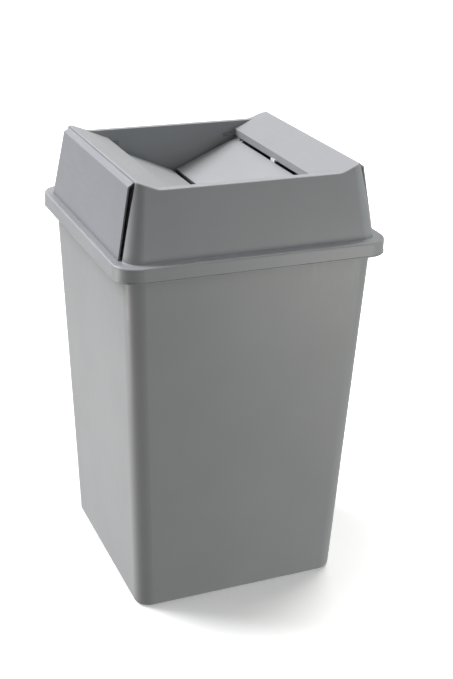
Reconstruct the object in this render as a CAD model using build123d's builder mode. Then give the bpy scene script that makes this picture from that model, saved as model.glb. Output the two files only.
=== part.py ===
from build123d import *
import os
from math import atan, cos, degrees, radians, sin, tan

os.makedirs("parts", exist_ok=True)

# Square commercial trash can with a swing top, in millimetres.
# +X right, +Y back, +Z up. The origin is the centre of the base, on the floor.
# The photograph looks at the -Y face from the front left.

# Container
container_height = 701.0
container_base_across = 408.0
container_base_corner = 29.0
container_top_corner = 31.0
container_wall = 3.2
container_floor = 4.0
base_edge_round = 9.0
foot_recess = 3.0
foot_ring_width = 20.0
rim_across = 495.0
rim_overhang = 13.7
rim_corner = 40.0
rim_thickness = 3.0
rim_lip_drop = 12.0
rim_edge_round = 1.5

# Hood, the moulded frame of the swing top
skirt_clearance = 4.0
skirt_bead_proud = 1.0
skirt_bead_height = 2.2
hood_corner = 45.0
hood_height = 162.2
hood_wall = 3.0
skirt_height = 27.0
skirt_edge_round = 4.0
ledge_width_x = 19.7
ledge_width_y = 18.5
hood_base_corner = 30.0
wall_run_x = 23.5
wall_run_y = 27.2
hood_top_corner = 20.0
rim_drop = 16.7
rim_outer_round = 3.5
roof_crease_round = 40.0
wall_root_round = 2.0
locating_rib_count = 2
locating_rib_setback = 127.5
locating_rib_thickness = 3.0
locating_rib_height = 20.0
locating_clearance = 0.8

# Throat of the hood: sloping chutes at the sides, curtains at front and back
chute_pitch = 21.2
chute_run = 79.3
lip_height = 13.5
lip_edge_round = 1.5
rim_width = 14.8
curtain_lean = 5.25
curtain_drop = 94.5
curtain_overrun = 3.0

# Swing doors, hinged on short knuckles at their ends
door_pitch = 23.1
door_gap = 11.0
door_skin = 3.2
door_depth = 10.0
door_rim_wall = 3.0
door_edge_round = 3.0
door_rib_count = 3
door_rib_thickness = 2.5
door_rib_height = 5.0
door_side_clearance = 2.5
door_travel = 60.0
door_lip_gap = 1.0
barrel_radius = 8.5
barrel_lip_gap = 1.8
barrel_setback = 6.0
knuckle_length = 20.0

# Counterweight rods, their arms on the doors and their end caps
rod_radius = 7.0
rod_setback = 10.5
rod_reach = 46.0
rod_drop = 34.0
rod_fit = 0.08
rod_edge = 1.0
arm_thickness = 8.0
arm_boss_wall = 4.0
arm_inset = 15.0
arm_neck_radius = 5.5
arm_root_radius = 2.0
arm_root_reach = 24.0
cap_wall = 1.8
cap_length = 7.0
stop_rib_thickness = 4.0
stop_rib_length = 14.0
stop_rib_spread = 120.0
stop_gap = 0.4

# Hinges: a pin in a bracket behind the curtain, with a spacer on the pin
pin_radius = 4.0
pin_engagement = 15.0
pin_fit = 0.05
pin_head_radius = 6.0
pin_head_height = 2.0
pin_hole_clearance = 0.6
spacer_wall = 3.0
spacer_length = 4.6
spacer_end_gap = 0.3
bracket_plate = 3.0
bracket_height = 30.0
bracket_inboard = 8.0
bracket_outboard = 25.0
bracket_boss_wall = 4.0
bracket_reach = 13.0
bracket_screw_setback = 7.0
bracket_screw_pitch = 17.0
window_width = 19.0
window_offset = 2.5
window_height = 5.0
window_play = 0.3
ledge_thickness = 3.0
ledge_proud = 4.0
ledge_depth = 9.0

# Side panels, standing on posts in recesses between the hood's corners
recess_depth = 6.0
recess_end_gap = 7.6
recess_ridge_round = 3.0
panel_standoff = 7.6
panel_thickness = 3.0
panel_setback = 52.5
panel_end_lean = 4.6
panel_shoulder_drop = 10.4
panel_return_pitch = 35.0
panel_return_thickness = 2.6
panel_seam = 2.0
panel_shoulder_round = 2.4
panel_end_round = 1.2
panel_bottom_gap = 0.3
post_radius = 6.0
post_contact = 0.05
post_setback = 83.0
post_low = 18.0
post_high = 105.0

# Screws and stop clips
screw_radius = 2.0
screw_fit = 0.06
screw_hole_clearance = 0.3
screw_head_radius = 4.0
screw_head_height = 2.4
panel_screw_length = 8.5
bracket_screw_length = 9.0
clip_width = 17.0
clip_wall = 2.5
clip_height = 8.0
clip_show = 1.0
clip_fit = 0.05
clip_door_gap = 0.3

# How near an edge must be to a named position to be picked
pick_margin = 1.0

# Widths, each from the container's rim inwards
container_top_across = rim_across - 2 * rim_overhang
skirt_inner = rim_across + 2 * skirt_clearance
skirt_across = skirt_inner + 2 * hood_wall
hood_across = skirt_across + 2 * skirt_bead_proud
hood_base_x = hood_across - 2 * ledge_width_x
hood_base_y = hood_across - 2 * ledge_width_y
hood_ridge_x = hood_base_x - 2 * wall_run_x
hood_rim_y = hood_base_y - 2 * wall_run_y
throat_half = hood_ridge_x / 2 - chute_run
throat_depth = hood_rim_y - 2 * rim_width

# Heights
ledge_top = container_height + hood_wall
skirt_bottom = ledge_top - skirt_height
ridge_z = skirt_bottom + hood_height
rim_z = ridge_z - rim_drop
clear_above = ridge_z + hood_height
clear_below = skirt_bottom - skirt_height
loft_top = ridge_z + hood_wall

# Slopes of the hood's walls, as horizontal travel for each millimetre of height
side_slope = wall_run_x / (ridge_z - ledge_top)
front_slope = wall_run_y / (rim_z - ledge_top)
corner_slope = (hood_base_corner - hood_top_corner) / (ridge_z - ledge_top)
side_lean = degrees(atan(side_slope))

# Throat
chute_slope = tan(radians(chute_pitch))
chute_drop = hood_wall / cos(radians(chute_pitch))
rim_half_x = hood_ridge_x / 2 - rim_drop / chute_slope
curtain_bottom = rim_z - curtain_drop
curtain_half_x = rim_half_x + curtain_overrun
curtain_wall = hood_wall / cos(radians(curtain_lean))


def corner_x(height):
    """Outside of the hood's corners, at the left and right."""
    return hood_base_x / 2 - side_slope * (height - ledge_top)


def side_x(height):
    """Outside of the hood's side walls, which are set in behind the panels."""
    return corner_x(height) - recess_depth


def front_y(height):
    return hood_base_y / 2 - front_slope * (height - ledge_top)


def chute_z(x):
    return ridge_z - chute_slope * (hood_ridge_x / 2 - x)


def curtain_y(height):
    return throat_depth / 2 + (height - rim_z) * tan(radians(curtain_lean))


lip_bottom = chute_z(throat_half) - lip_height

# Where a recessed side wall meets the chute
recess_ridge_x = hood_ridge_x / 2 - recess_depth / (1 + side_slope * chute_slope)
recess_ridge_z = chute_z(recess_ridge_x)

# Hinge axis, and the door's own directions at rest
hinge_x = throat_half + barrel_setback
hinge_z = lip_bottom - barrel_lip_gap - barrel_radius
door_cos = cos(radians(door_pitch))
door_sin = sin(radians(door_pitch))
tray_start = (barrel_setback + door_lip_gap - barrel_radius * door_sin) / door_cos
door_length = (hinge_x - door_gap / 2 - barrel_radius * door_sin) / door_cos
valley_z = hinge_z - door_length * door_sin + barrel_radius * door_cos
barrel_half = curtain_y(hinge_z - barrel_radius) - spacer_length - 2 * spacer_end_gap
door_tip_half = curtain_y(valley_z) - door_side_clearance

# Counterweight rod, at rest and with the door open
rod_x = hinge_x + rod_reach
rod_z = hinge_z - rod_drop
travel_cos = cos(radians(door_travel))
travel_sin = sin(radians(door_travel))
open_rod_x = hinge_x + rod_reach * travel_cos + rod_drop * travel_sin
open_rod_z = hinge_z + rod_reach * travel_sin - rod_drop * travel_cos
rod_length = 2 * (barrel_half - rod_setback)
arm_y = rod_length / 2 - arm_inset
stop_rib_bottom = open_rod_z + rod_radius + stop_gap
stop_rib_start = open_rod_x - stop_rib_length / 2
stop_rib_end = open_rod_x + stop_rib_length / 2
locating_rib_tip = rim_across / 2 + locating_clearance

# Hinge bracket
bracket_low = hinge_z - bracket_height / 2
bracket_top = hinge_z + bracket_height / 2
bracket_back = curtain_y(hinge_z) + curtain_wall + bracket_reach
bracket_screw_x = hinge_x + bracket_outboard - bracket_screw_setback
window_x = hinge_x - bracket_inboard - window_offset - window_width / 2
window_z = bracket_top - window_height / 2

# Side panel
panel_shoulder_z = recess_ridge_z - panel_shoulder_drop
panel_offset = panel_standoff + panel_thickness
panel_seam_x = recess_ridge_x + panel_seam
panel_return_run = side_x(panel_shoulder_z) + panel_offset - panel_seam_x
panel_crown_z = panel_shoulder_z + panel_return_run * tan(radians(panel_return_pitch))
post_y = hood_across / 2 - panel_setback - post_setback
post_length = panel_standoff * cos(radians(side_lean)) - post_contact


def hood_section(height, inset):
    """One rounded rectangle of the hood's tapering walls."""
    corner = hood_base_corner - corner_slope * (height - ledge_top)
    with BuildSketch(Plane.XY.offset(height)) as section:
        RectangleRounded(2 * (corner_x(height) - inset), 2 * (front_y(height) - inset), corner - inset)
    return section.sketch


def side_to_side(*points, mode=Mode.ADD):
    """A profile in X and Z, mirrored left to right and run the whole depth of the hood."""
    with BuildSketch(Plane.XZ) as profile:
        with BuildLine():
            Polyline(*points, *[(-x, z) for x, z in reversed(points)], close=True)
        make_face()
    extrude(profile.sketch, amount=hood_across, both=True, mode=mode)


def front_to_back(width, *points, mode=Mode.ADD):
    """A profile in Y and Z, mirrored front to back and run along X."""
    with BuildSketch(Plane.YZ) as profile:
        with BuildLine():
            Polyline(*points, *[(-y, z) for y, z in reversed(points)], close=True)
        make_face()
    extrude(profile.sketch, amount=width, both=True, mode=mode)


def panel_end(height):
    """How far a side panel's ends are from the middle."""
    return hood_across / 2 - panel_setback - (height - ledge_top) * tan(radians(panel_end_lean))


def recess_end(height):
    """How far the ends of a side panel's recess are from the middle."""
    return panel_end(height) + recess_end_gap


def wall_plane(y, height):
    """A plane on the outside of the hood's right wall, facing out."""
    return Plane(origin=(side_x(height), y, height), x_dir=(0, 1, 0), z_dir=(1, 0, side_slope))


def curtain_plane(height):
    """A plane on the throat side of the back curtain, facing the throat, at the bracket's screws."""
    return Plane(
        origin=(bracket_screw_x, curtain_y(height), height),
        x_dir=(1, 0, 0),
        z_dir=(0, -1, tan(radians(curtain_lean))),
    )


def door_top(x):
    """Height of the right door's upper face, closed."""
    return hinge_z + barrel_radius / door_cos + (x - hinge_x) * tan(radians(door_pitch))


def trapezoid(start, end, start_half, end_half):
    """A door outline on its own plane, from the hinge end to the free end."""
    Polygon((start, -start_half), (end, -end_half), (end, end_half), (start, start_half), align=None)


def roof_edges(builder):
    return builder.edges().filter_by(lambda edge: edge.center().Z > rim_z - pick_margin)


def mirrored(plane, mirrors):
    """A plane carried to another quarter of the hood."""
    origin, normal = plane.origin, plane.z_dir
    for mirror_plane in mirrors:
        flip = Vector(1, 1, 1) - 2 * Vector(*[abs(value) for value in mirror_plane.z_dir])
        origin = Vector(origin.X * flip.X, origin.Y * flip.Y, origin.Z)
        normal = Vector(normal.X * flip.X, normal.Y * flip.Y, normal.Z)
    return Plane(origin=origin, z_dir=normal)


quadrants = {
    "back_right": [],
    "back_left": [Plane.YZ],
    "front_right": [Plane.XZ],
    "front_left": [Plane.XZ, Plane.YZ],
}
post_planes = [
    wall_plane(y, ledge_top + rise)
    for y in (-post_y, post_y)
    for rise in (post_low, post_high)
]
screw_planes = [
    curtain_plane(hinge_z + rise) for rise in (-bracket_screw_pitch / 2, bracket_screw_pitch / 2)
]
wall_through = hood_wall * cos(radians(side_lean))
screw_hole_length = 3 * (hood_wall + bracket_plate)


# Container body: a tapering tub with a rolled rim and a foot ring
with BuildPart() as container_body:
    with BuildSketch():
        RectangleRounded(container_base_across, container_base_across, container_base_corner)
    with BuildSketch(Plane.XY.offset(container_height)):
        RectangleRounded(container_top_across, container_top_across, container_top_corner)
    loft(ruled=True)
    fillet(container_body.faces().sort_by(Axis.Z)[0].edges(), radius=base_edge_round)
    with BuildSketch(Plane.XY.offset(container_height - rim_lip_drop)):
        RectangleRounded(rim_across, rim_across, rim_corner)
    extrude(amount=rim_lip_drop)
    rim_edges = container_body.edges().filter_by_position(Axis.Z, container_height, container_height)
    fillet(rim_edges, radius=rim_edge_round)
    with BuildSketch(Plane.XY.offset(container_height - rim_lip_drop)):
        RectangleRounded(
            rim_across - 2 * rim_thickness, rim_across - 2 * rim_thickness, rim_corner - rim_thickness
        )
        RectangleRounded(
            container_top_across, container_top_across, container_top_corner, mode=Mode.SUBTRACT
        )
    extrude(amount=rim_lip_drop - rim_thickness, mode=Mode.SUBTRACT)
    tub_inner_base = container_base_across - 2 * container_wall
    tub_inner_top = container_top_across - 2 * container_wall
    with BuildSketch(Plane.XY.offset(foot_recess + container_floor)):
        RectangleRounded(tub_inner_base, tub_inner_base, container_base_corner - container_wall)
    with BuildSketch(Plane.XY.offset(container_height)):
        RectangleRounded(tub_inner_top, tub_inner_top, container_top_corner - container_wall)
    loft(ruled=True, mode=Mode.SUBTRACT)
    with BuildSketch():
        recess_across = container_base_across - 2 * (base_edge_round + foot_ring_width)
        RectangleRounded(recess_across, recess_across, container_base_corner - base_edge_round)
    extrude(amount=foot_recess, mode=Mode.SUBTRACT)
container_body.part.label = "container_body"
export_step(container_body.part, "parts/container_body.step")

# Volumes that the hood is cut with
with BuildPart() as hood_outside:
    loft([hood_section(container_height, 0), hood_section(loft_top, 0)], ruled=True)

with BuildPart() as panel_recess:
    front_to_back(
        hood_across,
        (recess_end(ledge_top), ledge_top),
        (recess_end(clear_above), clear_above),
    )
    side_to_side(
        (side_x(clear_below), clear_below),
        (side_x(clear_above), clear_above),
        mode=Mode.SUBTRACT,
    )

with BuildPart() as recess_backing:
    front_to_back(
        hood_across,
        (recess_end(container_height) + hood_wall, container_height),
        (recess_end(clear_above) + hood_wall, clear_above),
    )
    side_to_side(
        (side_x(clear_below) - hood_wall, clear_below),
        (side_x(clear_above) - hood_wall, clear_above),
        mode=Mode.SUBTRACT,
    )

with BuildPart() as hood_inside:
    loft([hood_section(container_height, hood_wall), hood_section(loft_top, hood_wall)], ruled=True)
    add(recess_backing.part, mode=Mode.SUBTRACT)

with BuildPart() as below_roof:
    side_to_side(
        (hood_across, clear_below),
        (hood_across, chute_z(hood_across)),
        (rim_half_x, rim_z),
    )

with BuildPart() as throat:
    side_to_side(
        (throat_half, clear_below),
        (throat_half, chute_z(throat_half)),
        (hood_across, chute_z(hood_across)),
        (hood_across, clear_above + hood_across),
    )
    front_to_back(
        hood_across,
        (curtain_y(clear_below), clear_below),
        (curtain_y(clear_above), clear_above),
        mode=Mode.INTERSECT,
    )

with BuildPart() as chute_cavity:
    side_to_side(
        (hood_across, clear_below),
        (hood_across, chute_z(hood_across) - chute_drop),
        (throat_half + hood_wall, chute_z(throat_half + hood_wall) - chute_drop),
        (throat_half + hood_wall, lip_bottom),
    )
    front_to_back(
        hood_across,
        (curtain_y(clear_below), clear_below),
        (curtain_y(clear_above), clear_above),
        mode=Mode.INTERSECT,
    )

with BuildPart() as hood_cavity:
    rim_inner_x = rim_half_x + (chute_drop - hood_wall) / chute_slope
    side_to_side(
        (hood_across, clear_below),
        (hood_across, chute_z(hood_across) - chute_drop),
        (rim_inner_x, rim_z - hood_wall),
    )
    front_to_back(
        curtain_half_x,
        (curtain_y(curtain_bottom) + curtain_wall, curtain_bottom),
        (curtain_y(clear_above) + curtain_wall, clear_above),
        mode=Mode.SUBTRACT,
    )
    add(chute_cavity.part)
    add(hood_inside.part, mode=Mode.INTERSECT)

# Hood frame: skirt and ledge, leaning walls, rim, chutes, lips and curtains in one moulding
with BuildPart() as hood_frame:
    add(hood_outside.part)
    add(below_roof.part, mode=Mode.INTERSECT)
    fillet(roof_edges(hood_frame).filter_by(GeomType.LINE), radius=roof_crease_round)
    fillet(roof_edges(hood_frame).filter_by(GeomType.LINE, reverse=True), radius=rim_outer_round)
    add(throat.part, mode=Mode.SUBTRACT)
    lip_edges = hood_frame.edges().filter_by(Axis.Y).filter_by(
        lambda edge: abs(abs(edge.center().X) - throat_half) < pick_margin and edge.center().Z > lip_bottom
    )
    fillet(lip_edges, radius=lip_edge_round)
    with BuildSketch(Plane.XY.offset(skirt_bottom)):
        RectangleRounded(skirt_across, skirt_across, hood_corner - skirt_bead_proud)
    extrude(amount=skirt_height)
    ledge_edges = hood_frame.edges().filter_by_position(Axis.Z, ledge_top, ledge_top)
    root_edges = ledge_edges.filter_by(
        lambda edge: max(abs(edge.center().X), abs(edge.center().Y)) < hood_base_y / 2 + pick_margin
    )
    fillet(ledge_edges - root_edges, radius=skirt_edge_round)
    fillet(root_edges, radius=wall_root_round)
    with BuildSketch(Plane.XY.offset(skirt_bottom)):
        RectangleRounded(hood_across, hood_across, hood_corner)
    extrude(amount=skirt_bead_height)
    with BuildSketch(Plane.XY.offset(skirt_bottom)):
        RectangleRounded(skirt_inner, skirt_inner, hood_corner - skirt_bead_proud - hood_wall)
    extrude(amount=container_height - skirt_bottom, mode=Mode.SUBTRACT)
    add(panel_recess.part, mode=Mode.SUBTRACT)
    recess_edges = roof_edges(hood_frame).filter_by(Axis.Y).filter_by(
        lambda edge: abs(abs(edge.center().X) - recess_ridge_x) < pick_margin
    )
    fillet(recess_edges, radius=recess_ridge_round)
    add(hood_cavity.part, mode=Mode.SUBTRACT)
    # Windows and holes for the hinges, through the curtains only
    with BuildSketch(Plane.XZ):
        with Locations((window_x, window_z), (-window_x, window_z)):
            Rectangle(window_width, window_height)
        with Locations((hinge_x, hinge_z), (-hinge_x, hinge_z)):
            Circle(pin_radius + pin_hole_clearance)
    extrude(amount=bracket_back, both=True, mode=Mode.SUBTRACT)
    # Stops under the chutes for the open doors' rods, and ribs that centre the skirt on the rim
    for y in (-stop_rib_spread / 2, stop_rib_spread / 2):
        with BuildSketch(Plane.XZ.offset(y)):
            for side in (-1, 1):
                with BuildLine():
                    Polyline(
                        (side * stop_rib_start, stop_rib_bottom),
                        (side * stop_rib_end, stop_rib_bottom),
                        (side * stop_rib_end, chute_z(stop_rib_end) - chute_drop / 2),
                        (side * stop_rib_start, chute_z(stop_rib_start) - chute_drop / 2),
                        close=True,
                    )
                make_face()
        extrude(amount=stop_rib_thickness / 2, both=True)
    with BuildSketch(Plane.XY.offset(container_height - locating_rib_height)):
        rib_root = (skirt_inner + hood_wall) / 2
        with PolarLocations((locating_rib_tip + rib_root) / 2, 4):
            with GridLocations(0, rim_across - 2 * locating_rib_setback, 1, locating_rib_count):
                Rectangle(rib_root - locating_rib_tip, locating_rib_thickness)
    extrude(amount=locating_rib_height)
    for planes in (screw_planes, post_planes):
        for mirrors in quadrants.values():
            with Locations(*[mirrored(plane, mirrors) for plane in planes]):
                Cylinder(screw_radius + screw_hole_clearance, screw_hole_length, mode=Mode.SUBTRACT)
hood_frame.part.label = "hood_frame"
export_step(hood_frame.part, "parts/hood_frame.step")

# Right side panel: a plate with a folded top edge, standing in its recess on four posts
with BuildPart() as side_panel_right:
    panel_low_z = ledge_top + panel_bottom_gap
    panel_fold_z = panel_shoulder_z - panel_return_thickness
    with BuildSketch(Plane.XZ):
        with BuildLine():
            Polyline(
                (side_x(panel_low_z) + panel_offset, panel_low_z),
                (side_x(panel_shoulder_z) + panel_offset, panel_shoulder_z),
                (panel_seam_x, panel_crown_z),
                (panel_seam_x, panel_crown_z - panel_return_thickness),
                (side_x(panel_fold_z) + panel_standoff, panel_fold_z),
                (side_x(panel_low_z) + panel_standoff, panel_low_z),
                close=True,
            )
        make_face()
    extrude(amount=hood_across / 2, both=True)
    front_to_back(
        hood_across,
        (panel_end(clear_below), clear_below),
        (panel_end(clear_above), clear_above),
        mode=Mode.INTERSECT,
    )
    shoulder = side_panel_right.edges().filter_by(Axis.Y).sort_by(Axis.X)[-3:].sort_by(Axis.Z)[-1]
    fillet(shoulder, radius=panel_shoulder_round)
    outer_face = side_panel_right.faces().sort_by(Axis.X)[-1]
    fillet(outer_face.edges().filter_by(Axis.Y, reverse=True), radius=panel_end_round)
    with Locations(*[plane.offset(post_contact) for plane in post_planes]):
        Cylinder(
            post_radius,
            post_length + panel_thickness / 2,
            align=(Align.CENTER, Align.CENTER, Align.MIN),
        )
    with Locations(*[plane.offset(post_contact) for plane in post_planes]):
        Cylinder(
            screw_radius + screw_fit,
            panel_screw_length - wall_through,
            align=(Align.CENTER, Align.CENTER, Align.MIN),
            mode=Mode.SUBTRACT,
        )

# Panel screws, driven from inside the hood through its wall into the posts
with BuildPart() as panel_screws_right:
    for plane in post_planes:
        with Locations(plane.offset(-wall_through - post_contact)):
            Cylinder(screw_radius, panel_screw_length, align=(Align.CENTER, Align.CENTER, Align.MIN))
            Cylinder(screw_head_radius, screw_head_height, align=(Align.CENTER, Align.CENTER, Align.MAX))

# Right swing door: a ribbed tray with a hinge knuckle at each end and three counterweight arms
door_plane = Plane(
    origin=(hinge_x - barrel_radius * door_sin, 0, hinge_z + barrel_radius * door_cos),
    x_dir=(-door_cos, 0, -door_sin),
    z_dir=(-door_sin, 0, door_cos),
)
with BuildPart() as swing_door_right:
    with BuildSketch(door_plane):
        trapezoid(tray_start, door_length, barrel_half, door_tip_half)
    extrude(amount=-door_depth)
    upper_face = swing_door_right.faces().sort_by(Axis.Z)[-1]
    fillet(upper_face.edges().sort_by(Axis.X)[:-1], radius=door_edge_round)
    with BuildSketch(door_plane.offset(-door_skin)):
        trapezoid(
            tray_start + door_rim_wall,
            door_length - door_rim_wall,
            barrel_half - door_rim_wall,
            door_tip_half - door_rim_wall,
        )
    extrude(amount=-door_depth, mode=Mode.SUBTRACT)
    with BuildSketch(door_plane.offset(-door_skin / 2)):
        with Locations(((door_length + tray_start) / 2, 0)):
            with GridLocations(0, 2 * door_tip_half / (door_rib_count + 1), 1, door_rib_count):
                Rectangle(door_length - tray_start - door_rim_wall, door_rib_thickness)
    extrude(amount=-door_skin / 2 - door_rib_height)
    for end in (-1, 1):
        with BuildSketch(Plane.XZ.offset(end * (barrel_half - knuckle_length))):
            with Locations((hinge_x, hinge_z)):
                Circle(barrel_radius)
        extrude(amount=end * knuckle_length)
    arm_root = door_plane.from_local_coords((arm_root_reach, 0, -door_skin / 2 - arm_root_radius))
    for y in (-arm_y, 0, arm_y):
        with BuildSketch(Plane.XZ.offset(y)):
            with Locations((arm_root.X, arm_root.Z)):
                Circle(arm_root_radius)
            with Locations((hinge_x, hinge_z)):
                Circle(arm_neck_radius)
            with Locations((rod_x, rod_z)):
                Circle(rod_radius + arm_boss_wall)
            make_hull()
        extrude(amount=arm_thickness / 2, both=True)
    with BuildSketch(Plane.XZ):
        with Locations((rod_x, rod_z)):
            Circle(rod_radius + rod_fit)
    extrude(amount=rod_length, both=True, mode=Mode.SUBTRACT)
    pin_bore_depth = pin_engagement + arm_boss_wall
    for end in (-1, 1):
        with BuildSketch(Plane.XZ.offset(end * (barrel_half - pin_bore_depth))):
            with Locations((hinge_x, hinge_z)):
                Circle(pin_radius + pin_fit)
        extrude(amount=end * pin_bore_depth, mode=Mode.SUBTRACT)

# Right counterweight rod
with BuildPart() as counterweight_rod_right:
    with BuildSketch(Plane.XZ):
        with Locations((rod_x, rod_z)):
            Circle(rod_radius)
    extrude(amount=rod_length / 2, both=True)
    chamfer(counterweight_rod_right.edges().filter_by(GeomType.CIRCLE), length=rod_edge)

# Push-on caps at the ends of the rod
with BuildPart() as rod_end_caps_right:
    for end in (-1, 1):
        with BuildSketch(Plane.XZ.offset(end * (rod_length / 2 + rod_fit + cap_wall - cap_length))):
            with Locations((rod_x, rod_z)):
                Circle(rod_radius + rod_fit + cap_wall)
        extrude(amount=end * cap_length)
    with BuildSketch(Plane.XZ):
        with Locations((rod_x, rod_z)):
            Circle(rod_radius + rod_fit)
    extrude(amount=rod_length / 2 + rod_fit, both=True, mode=Mode.SUBTRACT)

# Right stop clip: a U over the lip's lower edge that the closed door comes up against
with BuildPart() as stop_clip_right:
    clip_in = throat_half - clip_fit
    clip_out = throat_half + hood_wall + clip_fit
    with BuildSketch(Plane.XZ):
        with BuildLine():
            Polyline(
                (clip_in - clip_wall, door_top(clip_in - clip_wall) + clip_door_gap),
                (clip_out + clip_wall, door_top(clip_out + clip_wall) + clip_door_gap),
                (clip_out + clip_wall, lip_bottom + clip_height),
                (clip_out, lip_bottom + clip_height),
                (clip_out, lip_bottom - clip_fit),
                (clip_in, lip_bottom - clip_fit),
                (clip_in, lip_bottom + clip_show),
                (clip_in - clip_wall, lip_bottom + clip_show),
                close=True,
            )
        make_face()
    extrude(amount=clip_width / 2, both=True)

# Hinge pin at the back right, with its head behind the bracket
with BuildPart() as hinge_pin:
    with BuildSketch(Plane.XZ.offset(-(barrel_half - pin_engagement))):
        with Locations((hinge_x, hinge_z)):
            Circle(pin_radius)
    extrude(amount=-(bracket_back - barrel_half + pin_engagement))
    with BuildSketch(Plane.XZ.offset(-bracket_back)):
        with Locations((hinge_x, hinge_z)):
            Circle(pin_head_radius)
    extrude(amount=-pin_head_height)

# Spacer on the pin between the door's barrel and the curtain
with BuildPart() as hinge_spacer:
    with BuildSketch(Plane.XZ.offset(-(barrel_half + spacer_end_gap))):
        with Locations((hinge_x, hinge_z)):
            Circle(pin_radius + pin_fit + spacer_wall)
            Circle(pin_radius + pin_fit, mode=Mode.SUBTRACT)
    extrude(amount=-spacer_length)

# Hinge bracket behind the back curtain, with a ledge that shows through the curtain's window
with BuildPart() as hinge_bracket:
    with BuildSketch(Plane.YZ.offset(hinge_x - bracket_inboard)):
        with BuildLine():
            Polyline(
                (curtain_y(bracket_low) + curtain_wall, bracket_low),
                (curtain_y(bracket_low) + curtain_wall + bracket_plate, bracket_low),
                (curtain_y(bracket_top) + curtain_wall + bracket_plate, bracket_top),
                (curtain_y(bracket_top) + curtain_wall, bracket_top),
                close=True,
            )
        make_face()
    extrude(amount=bracket_inboard + bracket_outboard)
    boss_start = curtain_y(hinge_z) + curtain_wall + bracket_plate / 2
    with BuildSketch(Plane.XZ.offset(-boss_start)):
        with Locations((hinge_x, hinge_z)):
            Circle(pin_radius + bracket_boss_wall)
    extrude(amount=-(bracket_back - boss_start))
    window_left = window_x - window_width / 2 + window_play
    window_right = window_x + window_width / 2 - window_play
    ledge_front = curtain_y(bracket_top) - ledge_proud
    behind_curtain = curtain_y(bracket_top) + curtain_wall + window_play
    with BuildSketch(Plane.XY.offset(bracket_top - window_play)):
        with BuildLine():
            Polyline(
                (window_left, ledge_front),
                (window_right, ledge_front),
                (window_right, behind_curtain),
                (hinge_x, behind_curtain),
                (hinge_x, behind_curtain + ledge_depth),
                (window_left, behind_curtain + ledge_depth),
                close=True,
            )
        make_face()
    extrude(amount=-ledge_thickness)
    with BuildSketch(Plane.XZ):
        with Locations((hinge_x, hinge_z)):
            Circle(pin_radius + pin_fit)
    extrude(amount=-bracket_back, mode=Mode.SUBTRACT)
    with Locations(*screw_planes):
        Cylinder(screw_radius + screw_fit, screw_hole_length, mode=Mode.SUBTRACT)

# Screws that hold one bracket to the curtain, with their heads under the chute
with BuildPart() as bracket_screws:
    for plane in screw_planes:
        with Locations(plane.offset(post_contact)):
            Cylinder(screw_radius, bracket_screw_length, align=(Align.CENTER, Align.CENTER, Align.MAX))
            Cylinder(screw_head_radius, screw_head_height, align=(Align.CENTER, Align.CENTER, Align.MIN))

# The right-hand pieces, and their mirror images on the left
side_pieces = {
    "side_panel": side_panel_right,
    "panel_screws": panel_screws_right,
    "swing_door": swing_door_right,
    "counterweight_rod": counterweight_rod_right,
    "rod_end_caps": rod_end_caps_right,
    "stop_clip": stop_clip_right,
}
for name, piece in side_pieces.items():
    for side in ("right", "left"):
        copy = piece.part if side == "right" else mirror(piece.part, about=Plane.YZ)
        copy.label = f"{name}_{side}"
        export_step(copy, f"parts/{name}_{side}.step")

# The back right hinge's pieces, and their mirror images at the other three hinges
hinge_pieces = {
    "hinge_pin": hinge_pin,
    "hinge_spacer": hinge_spacer,
    "hinge_bracket": hinge_bracket,
    "bracket_screws": bracket_screws,
}
for name, piece in hinge_pieces.items():
    for corner, mirrors in quadrants.items():
        copy = piece.part
        for plane in mirrors:
            copy = mirror(copy, about=plane)
        copy.label = f"{name}_{corner}"
        export_step(copy, f"parts/{name}_{corner}.step")
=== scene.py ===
import math

import bmesh
import bpy
from bpy.props import FloatProperty, FloatVectorProperty, IntProperty, PointerProperty
from mathutils import Matrix, Vector


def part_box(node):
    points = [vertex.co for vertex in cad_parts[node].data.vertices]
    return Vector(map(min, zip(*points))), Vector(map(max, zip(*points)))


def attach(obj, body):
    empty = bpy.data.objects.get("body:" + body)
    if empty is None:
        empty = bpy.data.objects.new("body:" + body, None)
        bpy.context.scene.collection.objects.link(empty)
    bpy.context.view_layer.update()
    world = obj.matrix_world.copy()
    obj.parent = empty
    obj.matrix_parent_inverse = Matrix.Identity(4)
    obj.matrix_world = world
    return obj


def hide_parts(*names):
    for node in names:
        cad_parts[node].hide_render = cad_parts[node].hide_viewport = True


bl_info = {
    "name": "Square trash can with a swing top",
    "version": (1, 0, 0),
    "blender": (4, 5, 0),
    "location": "View3D > Sidebar > Trash can",
    "description": "Finishes the mouldings, rods and fastenings of a square commercial trash can",
    "category": "Object",
}

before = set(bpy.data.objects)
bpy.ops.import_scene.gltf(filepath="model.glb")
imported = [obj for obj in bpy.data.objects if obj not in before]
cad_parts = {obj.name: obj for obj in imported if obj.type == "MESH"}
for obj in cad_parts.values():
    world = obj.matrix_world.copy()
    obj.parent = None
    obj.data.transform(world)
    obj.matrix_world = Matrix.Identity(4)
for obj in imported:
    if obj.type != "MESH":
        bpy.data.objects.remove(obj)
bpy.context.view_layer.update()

MM = 0.001
DEGREE = math.pi / 180
WELD = 0.001 * MM  # Vertices nearer than this are one.
FLUSH = 0.02 * MM  # Points this near to an end face lie on it.
DRIVEN_TURN = 2.4  # How far a screw is turned from the one before it, in radians.
SIDES = ("left", "right")
CORNERS = ("back_right", "back_left", "front_right", "front_left")

# Nearly all of a noise's values lie in this middle band.
NOISE_MIDDLE = {"From Min": 0.3, "From Max": 0.7}
# How far the resin's tone moves either way.
TONE_DRIFT = {"To Min": 0.975, "To Max": 1.025}


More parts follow.
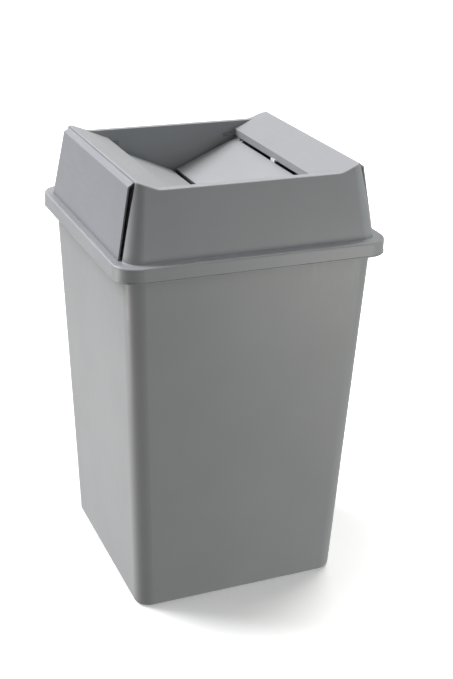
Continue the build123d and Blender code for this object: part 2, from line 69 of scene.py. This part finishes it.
def linear(hex_colour):
    """An sRGB hex colour as linear red, green, blue and alpha."""
    channels = [int(hex_colour[i : i + 2], 16) / 255 for i in (1, 3, 5)]
    return [c / 12.92 if c <= 0.04045 else ((c + 0.055) / 1.055) ** 2.4 for c in channels] + [1.0]


def node(tree, kind, inputs=None, **settings):
    """Adds a node with its settings, its input values and the sockets linked into it."""
    made = tree.nodes.new(kind)
    for name, value in settings.items():
        setattr(made, name, value)
    for name, value in (inputs or {}).items():
        if isinstance(value, bpy.types.NodeSocket):
            tree.links.new(value, made.inputs[name])
        else:
            made.inputs[name].default_value = value
    return made


def per_metre(size_mm):
    """A pattern's scale in one over metres, from the size of one of its features."""
    return 1 / (size_mm * MM)


def colour(name, description, default):
    return FloatVectorProperty(
        name=name, description=description, subtype="COLOR", size=4, min=0, max=1, default=linear(default)
    )


def length(name, description, default):
    return FloatProperty(name=name, description=description, unit="LENGTH", default=default)


def angle(name, description, default):
    return FloatProperty(
        name=name, description=description, unit="ROTATION", subtype="ANGLE", default=default
    )


def strength(name, description, default):
    return FloatProperty(name=name, description=description, min=0, default=default)


def power(name, description, default):
    return FloatProperty(name=name, description=description, unit="POWER", min=0, default=default)


class TrashCanSizes(bpy.types.PropertyGroup):
    """Sizes of the surface patterns and of the screws"""

    grain: length("Mould grain", "Width of one grain of the matte moulded texture", 0.9 * MM)
    mottle: length("Mottle", "Width of one patch where the resin's tone drifts", 130 * MM)
    rub: length("Rub marks", "Length of the faint upright marks from stacking and wiping", 60 * MM)
    edge_round: length("Edge rounding", "Radius that the moulded edges catch the light with", 0.9 * MM)
    foot_scuff: length("Foot scuffs", "Height of the scuffed band above the floor", 26 * MM)
    edge_scuff: length("Edge scuffs", "Height of the scuffed band at the hood's and panels' edges", 8.67 * MM)
    screw_recess: length("Screw recess", "Depth of the cross recess in a screw's head", 1.3 * MM)
    recess_span: length("Recess span", "Tip to tip width of the cross recess", 4.4 * MM)
    recess_wing: length("Recess wing", "Width of one wing of the cross recess", 0.9 * MM)
    thread_pitch: length("Thread pitch", "Distance between two crests of a screw's thread", 1.3 * MM)
    thread_depth: length("Thread depth", "Height of a crest over the root of the thread", 0.45 * MM)
    panel_lean: angle("Panel lean", "How far the side panels lean in from upright", 9.861 * DEGREE)
    curtain_lean: angle("Curtain lean", "How far the throat's curtains lean out from upright", 5.25 * DEGREE)
    turn_steps: IntProperty(
        name="Turn steps", description="Sides of a screw's round head and shank", default=40, min=12
    )


class TrashCanColours(bpy.types.PropertyGroup):
    """Colours of the materials"""

    container: colour("Container", "Grey polyethylene of the container", "#9b9c9d")
    hood: colour("Hood", "Grey polyethylene of the hood", "#9a9b9d")
    panel: colour("Side panels", "Slightly darker, cooler grey polyethylene of the side panels", "#8b8d91")
    door: colour("Doors", "Grey polyethylene of the swing doors", "#9ea0a1")
    scuff: colour("Scuffs", "Whitened polyethylene where it was scraped", "#bfc0c0")
    rod: colour("Rod steel", "Drawn carbon steel of the counterweight rods", "#a3a5a8")
    zinc: colour("Zinc", "Bright zinc plating of the pins and screws", "#c3c7cb")
    nylon: colour("Nylon", "Natural white nylon of the clips and spacers", "#ecebe6")
    vinyl: colour("Vinyl", "Black vinyl of the rods' end caps", "#1c1c1d")
    floor: colour("Floor", "Matt white sweep that the can stands on", "#f4f4f3")


class TrashCanStudio(bpy.types.PropertyGroup):
    """The camera and the lights"""

    camera_place: FloatVectorProperty(
        name="Camera", description="Where the camera stands", subtype="XYZ", unit="LENGTH",
        default=(-0.84218, -2.08925, 1.42689),
    )
    camera_yaw: angle("Yaw", "How far the camera looks to the right of straight back", 0.4078)
    camera_pitch: angle("Pitch", "How far the camera looks down", 0.3925)
    camera_roll: angle("Roll", "How far the camera is turned about its own axis", 0.0304)
    camera_lens: FloatProperty(name="Lens", description="Focal length", unit="CAMERA", default=66.75)
    camera_shift: FloatVectorProperty(
        name="Shift", description="Shift of the lens, in parts of the long side", size=2,
        default=(-0.0105, -0.0345),
    )
    key_strength: strength("Key", "Strength of the soft key light, back left", 3.7)
    rim_strength: strength("Rim", "Strength of the high light, back right", 1.7)
    fill_strength: strength("Fill", "Strength of the low light, front right", 0.7)
    left_power: power("Left panel", "Power of the low panel at the left", 5.6)
    front_power: power("Front panel", "Power of the low panel at the front", 6.4)
    panel_size: length("Light panels", "Length of one side of a light panel", 0.5)
    panel_aim: length("Aim", "Height on the can that the light panels face", 0.4)
    ambient: strength("Ambient", "Strength of the light from all round", 0.12)
    sheen: strength("Sheen", "Brightness of the surround that the glossy faces mirror", 0.75)
    floor_size: length("Floor", "Length of one side of the floor", 40.0)
    shadow_near: length("Shadow", "Distance from the base's centre where its shadow starts to fade", 0.22)
    shadow_far: length("Shadow's end", "Distance from the base's centre where the floor is all white", 0.58)
    near_glow: strength("Near glow", "The floor's own light where the shadow is whole", 0.2)
    far_glow: strength("Far glow", "The floor's own light where it is all white", 0.6)


def material(name):
    """An empty node material. Returns it with its tree and its shader, which is linked to the output."""
    made = bpy.data.materials.new(name)
    made.use_nodes = True
    tree = made.node_tree
    tree.nodes.clear()
    shader = node(tree, "ShaderNodeBsdfPrincipled")
    node(tree, "ShaderNodeOutputMaterial", {"Surface": shader.outputs["BSDF"]})
    return made, tree, shader


def moulded_polyethylene(name, base, sizes, scuff, rub_axis, scuff_from, scuff_to):
    """Injection-moulded high-density polyethylene with a fine matte mould texture.

    The grain breaks the highlight up so the walls look satin, the resin's tone drifts a little over
    a hand's width, and use leaves faint long rubs and a whitened scuffed band.
    rub_axis is the way that things slide along the piece. The band is whitest at the height scuff_from
    and ends at scuff_to.
    """
    made, tree, shader = material(name)
    place = node(tree, "ShaderNodeTexCoord").outputs["Object"]
    # The real grain is about 0.2 mm, under a tenth of a pixel, so it is drawn coarser to show.
    grain = node(tree, "ShaderNodeTexNoise", {"Vector": place, "Scale": 1 / sizes.grain, "Detail": 2.0})
    mottle = node(tree, "ShaderNodeTexNoise", {"Vector": place, "Scale": 1 / sizes.mottle, "Detail": 3.0})
    across = per_metre(2.2)
    along = [across, across, across]
    along["XYZ".index(rub_axis)] = 1 / sizes.rub
    stretched = node(tree, "ShaderNodeMapping", {"Vector": place, "Scale": along})
    rubs = node(
        tree, "ShaderNodeTexNoise", {"Vector": stretched.outputs["Vector"], "Scale": 1.0, "Detail": 4.0}
    )

    tone = node(
        tree, "ShaderNodeMapRange",
        {"Value": mottle.outputs["Fac"], "From Min": 0.35, "From Max": 0.65, **TONE_DRIFT},
    )
    speckle = node(
        tree, "ShaderNodeMapRange", {"Value": grain.outputs["Fac"], **NOISE_MIDDLE, **TONE_DRIFT}
    )
    both = node(
        tree, "ShaderNodeMath", {0: tone.outputs["Result"], 1: speckle.outputs["Result"]},
        operation="MULTIPLY",
    )
    resin = node(tree, "ShaderNodeHueSaturation", {"Color": base, "Value": both.outputs["Value"]})

    height = node(tree, "ShaderNodeSeparateXYZ", {"Vector": place}).outputs["Z"]
    band = node(
        tree, "ShaderNodeMapRange",
        {"Value": height, "From Min": scuff_from, "From Max": scuff_to, "To Min": 1.0, "To Max": 0.0},
    )
    # Only the strongest rubs scrape the skin white.
    scrapes = node(
        tree, "ShaderNodeMapRange",
        {"Value": rubs.outputs["Fac"], "From Min": 0.56, "From Max": 0.7, "To Min": 0.0, "To Max": 0.45},
    )
    worn = node(
        tree, "ShaderNodeMath", {0: band.outputs["Result"], 1: scrapes.outputs["Result"]},
        operation="MULTIPLY",
    )
    skin = node(
        tree, "ShaderNodeMix",
        {"Factor": worn.outputs["Value"], "A": resin.outputs["Color"], "B": scuff}, data_type="RGBA",
    )
    satin = node(
        tree, "ShaderNodeMapRange",
        {"Value": rubs.outputs["Fac"], **NOISE_MIDDLE, "To Min": 0.40, "To Max": 0.52},
    )
    rounded = node(tree, "ShaderNodeBevel", {"Radius": sizes.edge_round}, samples=6)
    bump = node(
        tree, "ShaderNodeBump",
        {"Height": grain.outputs["Fac"], "Strength": 0.22, "Distance": 0.12 * MM,
         "Normal": rounded.outputs["Normal"]},
    )
    tree.links.new(skin.outputs["Result"], shader.inputs["Base Color"])
    tree.links.new(satin.outputs["Result"], shader.inputs["Roughness"])
    tree.links.new(bump.outputs["Normal"], shader.inputs["Normal"])
    shader.inputs["IOR"].default_value = 1.54
    return made


def metal(name, base, place_scale, rough_low, rough_high, bump_depth):
    """A metal whose tone, gloss and relief follow one noise, stretched along the way it was worked."""
    made, tree, shader = material(name)
    place = node(tree, "ShaderNodeTexCoord").outputs["Object"]
    worked = node(tree, "ShaderNodeMapping", {"Vector": place, "Scale": place_scale})
    marks = node(
        tree, "ShaderNodeTexNoise", {"Vector": worked.outputs["Vector"], "Scale": 1.0, "Detail": 3.0}
    )
    gloss = node(
        tree, "ShaderNodeMapRange",
        {"Value": marks.outputs["Fac"], **NOISE_MIDDLE, "To Min": rough_low, "To Max": rough_high},
    )
    tone = node(
        tree, "ShaderNodeMapRange",
        {"Value": marks.outputs["Fac"], **NOISE_MIDDLE, "To Min": 0.9, "To Max": 1.06},
    )
    skin = node(tree, "ShaderNodeHueSaturation", {"Color": base, "Value": tone.outputs["Result"]})
    bump = node(
        tree, "ShaderNodeBump", {"Height": marks.outputs["Fac"], "Strength": 0.3, "Distance": bump_depth}
    )
    tree.links.new(skin.outputs["Color"], shader.inputs["Base Color"])
    tree.links.new(gloss.outputs["Result"], shader.inputs["Roughness"])
    tree.links.new(bump.outputs["Normal"], shader.inputs["Normal"])
    shader.inputs["Metallic"].default_value = 1.0
    return made


def drawn_steel(base):
    """Cold-drawn carbon steel bar: fine lines left by the die run along the rod and streak the light."""
    across, along = per_metre(0.5), per_metre(45)
    return metal("drawn_steel", base, (across, along, across), 0.26, 0.42, 0.05 * MM)


def zinc_plate(base):
    """Bright zinc-plated steel: a cool, slightly cloudy metal whose patches of crystal vary the gloss."""
    return metal("zinc_plated_steel", base, (per_metre(1.4),) * 3, 0.22, 0.38, 0.03 * MM)


def small_moulding(name, base, grain_mm, rough_low, rough_high, ior, glow):
    """A small moulded polymer piece: even colour, a fine eggshell grain and some light under the skin."""
    made, tree, shader = material(name)
    place = node(tree, "ShaderNodeTexCoord").outputs["Object"]
    grain = node(tree, "ShaderNodeTexNoise", {"Vector": place, "Scale": per_metre(grain_mm), "Detail": 3.0})
    tone = node(
        tree, "ShaderNodeMapRange",
        {"Value": grain.outputs["Fac"], **NOISE_MIDDLE, "To Min": 0.95, "To Max": 1.03},
    )
    gloss = node(
        tree, "ShaderNodeMapRange",
        {"Value": grain.outputs["Fac"], **NOISE_MIDDLE, "To Min": rough_low, "To Max": rough_high},
    )
    skin = node(tree, "ShaderNodeHueSaturation", {"Color": base, "Value": tone.outputs["Result"]})
    bump = node(
        tree, "ShaderNodeBump", {"Height": grain.outputs["Fac"], "Strength": 0.25, "Distance": 0.05 * MM}
    )
    tree.links.new(skin.outputs["Color"], shader.inputs["Base Color"])
    tree.links.new(gloss.outputs["Result"], shader.inputs["Roughness"])
    tree.links.new(bump.outputs["Normal"], shader.inputs["Normal"])
    shader.inputs["IOR"].default_value = ior
    shader.inputs["Subsurface Weight"].default_value = glow
    shader.inputs["Subsurface Radius"].default_value = (1.0, 0.95, 0.85)
    shader.inputs["Subsurface Scale"].default_value = 0.8 * MM
    return made


def dress(names, finish):
    """Gives CAD nodes their material."""
    for name in names:
        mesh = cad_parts[name].data
        mesh.materials.clear()
        mesh.materials.append(finish)


def piece_from(name, bm, finish, body):
    """A new piece from a bmesh, with its material, riding on a body."""
    mesh = bpy.data.meshes.new(name)
    bm.to_mesh(mesh)
    bm.free()
    mesh.materials.append(finish)
    made = bpy.data.objects.new(name, mesh)
    bpy.context.scene.collection.objects.link(made)
    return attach(made, body)


def rough_centre(points):
    """The middle of some points to a tenth of a millimetre, to sort by."""
    return tuple(round(sum(p[axis] for p in points) / len(points), 4) for axis in range(3))


def islands(name):
    """The points of each separate solid of a CAD node."""
    bm = bmesh.new()
    bm.from_mesh(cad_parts[name].data)
    bmesh.ops.remove_doubles(bm, verts=bm.verts, dist=WELD)
    left, found = set(bm.verts), []
    while left:
        reached, front = set(), [left.pop()]
        while front:
            vert = front.pop()
            reached.add(vert)
            for edge in vert.link_edges:
                other = edge.other_vert(vert)
                if other in left:
                    left.discard(other)
                    front.append(other)
        found.append([v.co.copy() for v in reached])
    bm.free()
    return sorted(found, key=rough_centre)


def off_axis(point, centre, axis):
    """How far a point lies from the axis through a centre."""
    arm = point - centre
    return (arm - axis * arm.dot(axis)).length


def cross_cutter(sizes):
    """Two tapering wings that cut the recess in a screw's head, with the head's top at the origin.

    They start a little above the head, so that the cut opens cleanly.
    """
    bm = bmesh.new()
    for turn in (0, math.pi / 2):
        rings = []
        for z, span in ((0.4 * MM, sizes.recess_span), (-sizes.screw_recess, sizes.recess_span * 0.45)):
            half, wing = span / 2, sizes.recess_wing / 2
            corners = ((half, wing), (-half, wing), (-half, -wing), (half, -wing))
            spin = Matrix.Rotation(turn, 3, "Z")
            rings.append([bm.verts.new(spin @ Vector((x, y, z))) for x, y in corners])
        bm.faces.new(rings[0])
        bm.faces.new(reversed(rings[1]))
        for i in range(4):
            j = (i + 1) % 4
            bm.faces.new((rings[0][j], rings[0][i], rings[1][i], rings[1][j]))
    bmesh.ops.recalc_face_normals(bm, faces=bm.faces)
    return bm


def screw_mesh(sizes, head_radius, head_height, shank_radius, full_length):
    """A pan-head screw with a cross recess, turned about Z, its head's top at the origin."""
    # The head has a flat crown, a rounded shoulder and a short straight side. The thread is drawn as
    # rings, because it stands inside its hole and never shows its lead.
    profile = [(0, 0), (head_radius * 0.62, 0), (head_radius * 0.88, -head_height * 0.2)]
    profile += [(head_radius, -head_height * 0.55), (head_radius, -head_height), (shank_radius, -head_height)]
    z, root = -head_height - sizes.thread_pitch / 2, shank_radius - sizes.thread_depth
    while z > -full_length + sizes.thread_pitch:
        profile += [(root, z), (shank_radius, z - sizes.thread_pitch / 2)]
        z -= sizes.thread_pitch
    profile += [(root, -full_length), (0, -full_length)]
    bm = bmesh.new()
    verts = [bm.verts.new((r, 0, z)) for r, z in profile]
    edges = [bm.edges.new(pair) for pair in zip(verts, verts[1:])]
    bmesh.ops.spin(
        bm, geom=verts + edges, cent=(0, 0, 0), axis=(0, 0, 1), angle=2 * math.pi, steps=sizes.turn_steps
    )
    bmesh.ops.remove_doubles(bm, verts=bm.verts, dist=WELD)
    bmesh.ops.recalc_face_normals(bm, faces=bm.faces)
    turned = bpy.data.meshes.new("turned_screw")
    bm.to_mesh(turned)
    bm.free()
    cutter = bpy.data.meshes.new("recess_cutter")
    bm = cross_cutter(sizes)
    bm.to_mesh(cutter)
    bm.free()
    blank, tool = bpy.data.objects.new("turned_screw", turned), bpy.data.objects.new("recess_cutter", cutter)
    for made in (blank, tool):
        bpy.context.scene.collection.objects.link(made)
    cut = blank.modifiers.new("recess", "BOOLEAN")
    cut.operation, cut.solver, cut.object, cut.use_self = "DIFFERENCE", "EXACT", tool, True
    bpy.context.view_layer.update()
    result = bpy.data.meshes.new_from_object(blank.evaluated_get(bpy.context.evaluated_depsgraph_get()))
    for made in (blank, tool):
        bpy.data.objects.remove(made)
    return result


def drive_screws(node_name, out, sizes, finish, body):
    """Puts recessed screws in place of a CAD node's plain ones. out is the way that their heads face."""
    out = out.normalized()
    bm = bmesh.new()
    for number, points in enumerate(islands(node_name)):
        along = [p.dot(out) for p in points]
        top, bottom = max(along), min(along)
        head = [p for p, a in zip(points, along) if a > top - FLUSH]
        centre = sum(head, Vector()) / len(head)
        head_radius = max(off_axis(p, centre, out) for p in head)
        tip = [p for p, a in zip(points, along) if a < bottom + FLUSH]
        shank_radius = max(off_axis(p, centre, out) for p in tip)
        # Only the head reaches this far out, so its lowest such point is its underside.
        shoulder = min(a for p, a in zip(points, along) if off_axis(p, centre, out) > head_radius * 0.9)
        mesh = screw_mesh(sizes, head_radius, top - shoulder, shank_radius, top - bottom)
        # Each screw was driven home to its own angle.
        mesh.transform(
            Matrix.Translation(centre)
            @ out.to_track_quat("Z", "Y").to_matrix().to_4x4()
            @ Matrix.Rotation(DRIVEN_TURN * (number + 1), 4, "Z")
        )
        bm.from_mesh(mesh)
        bpy.data.meshes.remove(mesh)
    made = piece_from(f"{node_name}_recessed", bm, finish, body)
    # The faces of a turned form have four corners, and shade smooth.
    for face in made.data.polygons:
        face.use_smooth = len(face.vertices) == 4
    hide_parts(node_name)


class TRASHCAN_OT_container(bpy.types.Operator):
    """Finishes the container"""

    bl_idname = "trash_can.container"
    bl_label = "Container"

    def execute(self, context):
        sizes, colours = context.scene.trash_can_sizes, context.scene.trash_can_colours
        finish = moulded_polyethylene(
            "container_moulded_polyethylene", colours.container, sizes, colours.scuff, "Z",
            scuff_from=0.0, scuff_to=sizes.foot_scuff,
        )
        dress(["container_body"], finish)
        return {"FINISHED"}


class TRASHCAN_OT_hood(bpy.types.Operator):
    """Finishes the hood, its side panels and the hinge brackets"""

    bl_idname = "trash_can.hood"
    bl_label = "Hood and side panels"

    def execute(self, context):
        sizes, colours = context.scene.trash_can_sizes, context.scene.trash_can_colours
        skirt_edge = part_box("hood_frame")[0].z
        finish = moulded_polyethylene(
            "hood_moulded_polyethylene", colours.hood, sizes, colours.scuff, "Y",
            scuff_from=skirt_edge, scuff_to=skirt_edge + sizes.edge_scuff,
        )
        dress(["hood_frame"] + [f"hinge_bracket_{corner}" for corner in CORNERS], finish)
        panel_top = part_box("side_panel_right")[1].z
        finish = moulded_polyethylene(
            "panel_moulded_polyethylene", colours.panel, sizes, colours.scuff, "Y",
            scuff_from=panel_top, scuff_to=panel_top - sizes.edge_scuff,
        )
        dress([f"side_panel_{side}" for side in SIDES], finish)
        return {"FINISHED"}


class TRASHCAN_OT_doors(bpy.types.Operator):
    """Finishes the two swing doors, with the rubs of waste that slides down them"""

    bl_idname = "trash_can.doors"
    bl_label = "Swing doors"

    def execute(self, context):
        sizes, colours = context.scene.trash_can_sizes, context.scene.trash_can_colours
        low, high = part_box("swing_door_right")
        finish = moulded_polyethylene(
            "door_moulded_polyethylene", colours.door, sizes, colours.scuff, "X",
            scuff_from=low.z, scuff_to=high.z,
        )
        dress([f"swing_door_{side}" for side in SIDES], finish)
        return {"FINISHED"}


class TRASHCAN_OT_counterweights(bpy.types.Operator):
    """Finishes the counterweight rods and their end caps"""

    bl_idname = "trash_can.counterweights"
    bl_label = "Counterweight rods"

    def execute(self, context):
        colours = context.scene.trash_can_colours
        dress([f"counterweight_rod_{side}" for side in SIDES], drawn_steel(colours.rod))
        caps = small_moulding("dipped_black_vinyl", colours.vinyl, 0.6, 0.42, 0.56, 1.53, 0.0)
        dress([f"rod_end_caps_{side}" for side in SIDES], caps)
        return {"FINISHED"}


class TRASHCAN_OT_hinges(bpy.types.Operator):
    """Finishes the hinge pins, their spacers and the stop clips"""

    bl_idname = "trash_can.hinges"
    bl_label = "Hinge pins, spacers and stop clips"

    def execute(self, context):
        colours = context.scene.trash_can_colours
        dress([f"hinge_pin_{corner}" for corner in CORNERS], zinc_plate(colours.zinc))
        nylon = small_moulding("moulded_natural_nylon", colours.nylon, 0.5, 0.34, 0.46, 1.53, 0.35)
        dress([f"hinge_spacer_{corner}" for corner in CORNERS], nylon)
        dress([f"stop_clip_{side}" for side in SIDES], nylon)
        return {"FINISHED"}


class TRASHCAN_OT_screws(bpy.types.Operator):
    """Drives cross-recess screws into the side panels' posts and the hinge brackets"""

    bl_idname = "trash_can.screws"
    bl_label = "Screws"

    def execute(self, context):
        sizes, colours = context.scene.trash_can_sizes, context.scene.trash_can_colours
        finish = zinc_plate(colours.zinc)
        for side, sign in zip(SIDES, (1, -1)):
            inward = Vector((sign, 0, -math.tan(sizes.panel_lean)))
            drive_screws(f"panel_screws_{side}", inward, sizes, finish, "hood")
        for corner in CORNERS:
            sign = -1 if corner.startswith("back") else 1
            inward = Vector((0, sign, math.tan(sizes.curtain_lean)))
            drive_screws(f"bracket_screws_{corner}", inward, sizes, finish, "hood")
        return {"FINISHED"}


class TRASHCAN_OT_studio(bpy.types.Operator):
    """Lays the pale floor and sets the soft lights and the camera"""

    bl_idname = "trash_can.studio"
    bl_label = "Floor, lights and camera"

    def execute(self, context):
        studio, colours = context.scene.trash_can_studio, context.scene.trash_can_colours
        self.lay_floor(context, studio, colours)
        self.set_lights(context, studio)
        self.set_camera(context, studio)
        return {"FINISHED"}

    def lay_floor(self, context, studio, colours):
        """A matt white paper sweep, a little uneven in tone, whose bounce is kept off the can."""
        made, tree, shader = material("matt_white_paper")
        place = node(tree, "ShaderNodeTexCoord").outputs["Object"]
        fibre = node(tree, "ShaderNodeTexNoise", {"Vector": place, "Scale": per_metre(30), "Detail": 2.0})
        tone = node(
            tree, "ShaderNodeMapRange",
            {"Value": fibre.outputs["Fac"], **NOISE_MIDDLE, "To Min": 0.995, "To Max": 1.0},
        )
        skin = node(
            tree, "ShaderNodeHueSaturation", {"Color": colours.floor, "Value": tone.outputs["Result"]}
        )
        tree.links.new(skin.outputs["Color"], shader.inputs["Base Color"])
        shader.inputs["Roughness"].default_value = 0.9
        shader.inputs["Specular IOR Level"].default_value = 0.1
        # The sweep is overexposed away from the can, so the shadow only shows close to the base.
        away = node(tree, "ShaderNodeVectorMath", {"Vector": place}, operation="LENGTH")
        burn = node(
            tree, "ShaderNodeMapRange",
            {"Value": away.outputs["Value"], "From Min": studio.shadow_near, "From Max": studio.shadow_far,
             "To Min": studio.near_glow, "To Max": studio.far_glow},
            interpolation_type="SMOOTHSTEP",
        )
        shader.inputs["Emission Color"].default_value = (1, 1, 1, 1)
        tree.links.new(burn.outputs["Result"], shader.inputs["Emission Strength"])
        bm = bmesh.new()
        bmesh.ops.create_grid(bm, x_segments=8, y_segments=8, size=studio.floor_size / 2)
        mesh = bpy.data.meshes.new("floor")
        bm.to_mesh(mesh)
        bm.free()
        mesh.materials.append(made)
        floor = bpy.data.objects.new("floor", mesh)
        context.scene.collection.objects.link(floor)
        floor.visible_diffuse = False
        floor.visible_glossy = False

    def set_lights(self, context, studio):
        """A cool key from the back left, a high light behind, a low fill and two warm panels near the can.

        A sun's turn is from the can's right towards its back, and its rise is above the floor.
        """
        for name, turn, rise, spread, energy, tint in (
            ("key", 135, 42, 30, studio.key_strength, (0.96, 0.95, 1.0)),
            ("rim", 40, 60, 30, studio.rim_strength, (1.0, 1.0, 0.98)),
            ("fill", -35, 12, 40, studio.fill_strength, (0.84, 0.96, 1.0)),
        ):
            lamp = bpy.data.lights.new(name, "SUN")
            lamp.energy, lamp.angle, lamp.color = energy, spread * DEGREE, tint
            made = bpy.data.objects.new(name, lamp)
            turned = Matrix.Rotation(turn * DEGREE, 3, "Z") @ Matrix.Rotation(-rise * DEGREE, 3, "Y")
            made.rotation_euler = (turned @ Vector((1, 0, 0))).to_track_quat("Z", "Y").to_euler()
            context.scene.collection.objects.link(made)
        aim = Vector((0, 0, studio.panel_aim))
        for name, place, energy, tint in (
            ("left_panel", (-1.2, 0.1, 0.25), studio.left_power, (1.0, 1.0, 0.94)),
            ("front_panel", (0.8, -1.3, 0.3), studio.front_power, (1.0, 0.98, 0.92)),
        ):
            lamp = bpy.data.lights.new(name, "AREA")
            lamp.energy, lamp.size, lamp.color = energy, studio.panel_size, tint
            made = bpy.data.objects.new(name, lamp)
            made.location = place
            made.rotation_euler = (made.location - aim).to_track_quat("Z", "Y").to_euler()
            made.visible_camera = False
            context.scene.collection.objects.link(made)

        world = bpy.data.worlds.new("surround")
        world.use_nodes = True
        tree = world.node_tree
        tree.nodes.clear()
        # The surround is white to the eye and pale in the faces' sheen, but lights the can only a little.
        ray = node(tree, "ShaderNodeLightPath")
        mirrored = node(
            tree, "ShaderNodeMapRange",
            {"Value": ray.outputs["Is Glossy Ray"], "To Min": studio.ambient, "To Max": studio.sheen},
        )
        seen = node(
            tree, "ShaderNodeMapRange",
            {"Value": ray.outputs["Is Camera Ray"], "To Min": mirrored.outputs["Result"], "To Max": 1.0},
        )
        sky = node(
            tree, "ShaderNodeBackground", {"Color": (1, 1, 1, 1), "Strength": seen.outputs["Result"]}
        )
        node(tree, "ShaderNodeOutputWorld", {"Surface": sky.outputs["Background"]})
        context.scene.world = world
        context.scene.view_settings.view_transform = "Standard"

    def set_camera(self, context, studio):
        """A long lens that looks down on the can from the front left."""
        yaw, pitch, roll = studio.camera_yaw, studio.camera_pitch, studio.camera_roll
        ahead = Vector((math.sin(yaw) * math.cos(pitch), math.cos(yaw) * math.cos(pitch), -math.sin(pitch)))
        level = Vector((math.cos(yaw), -math.sin(yaw), 0))
        upward = level.cross(ahead)
        right = level * math.cos(roll) + upward * math.sin(roll)
        up = upward * math.cos(roll) - level * math.sin(roll)
        lens = bpy.data.cameras.new("camera")
        lens.lens = studio.camera_lens
        lens.sensor_width = 36
        lens.shift_x, lens.shift_y = studio.camera_shift
        lens.clip_end = 100
        camera = bpy.data.objects.new("camera", lens)
        turned = Matrix((right, up, -ahead)).transposed().to_4x4()
        camera.matrix_world = Matrix.Translation(studio.camera_place) @ turned
        context.scene.collection.objects.link(camera)
        context.scene.camera = camera


class TRASHCAN_PT_sidebar(bpy.types.Panel):
    """The trash can's sizes, colours and pieces"""

    bl_idname = "TRASHCAN_PT_sidebar"
    bl_label = "Trash can"
    bl_space_type = "VIEW_3D"
    bl_region_type = "UI"
    bl_category = "Trash can"

    def draw(self, context):
        for group_name in GROUPS:
            group = getattr(context.scene, group_name)
            box = self.layout.box()
            for name in group.__annotations__:
                box.prop(group, name)
        for operator in OPERATORS:
            self.layout.operator(operator.bl_idname)


GROUPS = {
    "trash_can_sizes": TrashCanSizes,
    "trash_can_colours": TrashCanColours,
    "trash_can_studio": TrashCanStudio,
}
OPERATORS = (
    TRASHCAN_OT_container,
    TRASHCAN_OT_hood,
    TRASHCAN_OT_doors,
    TRASHCAN_OT_counterweights,
    TRASHCAN_OT_hinges,
    TRASHCAN_OT_screws,
    TRASHCAN_OT_studio,
)
CLASSES = (*GROUPS.values(), *OPERATORS, TRASHCAN_PT_sidebar)


def register():
    for made in CLASSES:
        bpy.utils.register_class(made)
    for name, group in GROUPS.items():
        setattr(bpy.types.Scene, name, PointerProperty(type=group))


def unregister():
    for name in GROUPS:
        delattr(bpy.types.Scene, name)
    for made in reversed(CLASSES):
        bpy.utils.unregister_class(made)


def main():
    register()
    bpy.ops.trash_can.container()
    bpy.ops.trash_can.hood()
    bpy.ops.trash_can.doors()
    bpy.ops.trash_can.counterweights()
    bpy.ops.trash_can.hinges()
    bpy.ops.trash_can.screws()
    bpy.ops.trash_can.studio()
    bpy.context.view_layer.update()


if __name__ == "__main__":
    main()
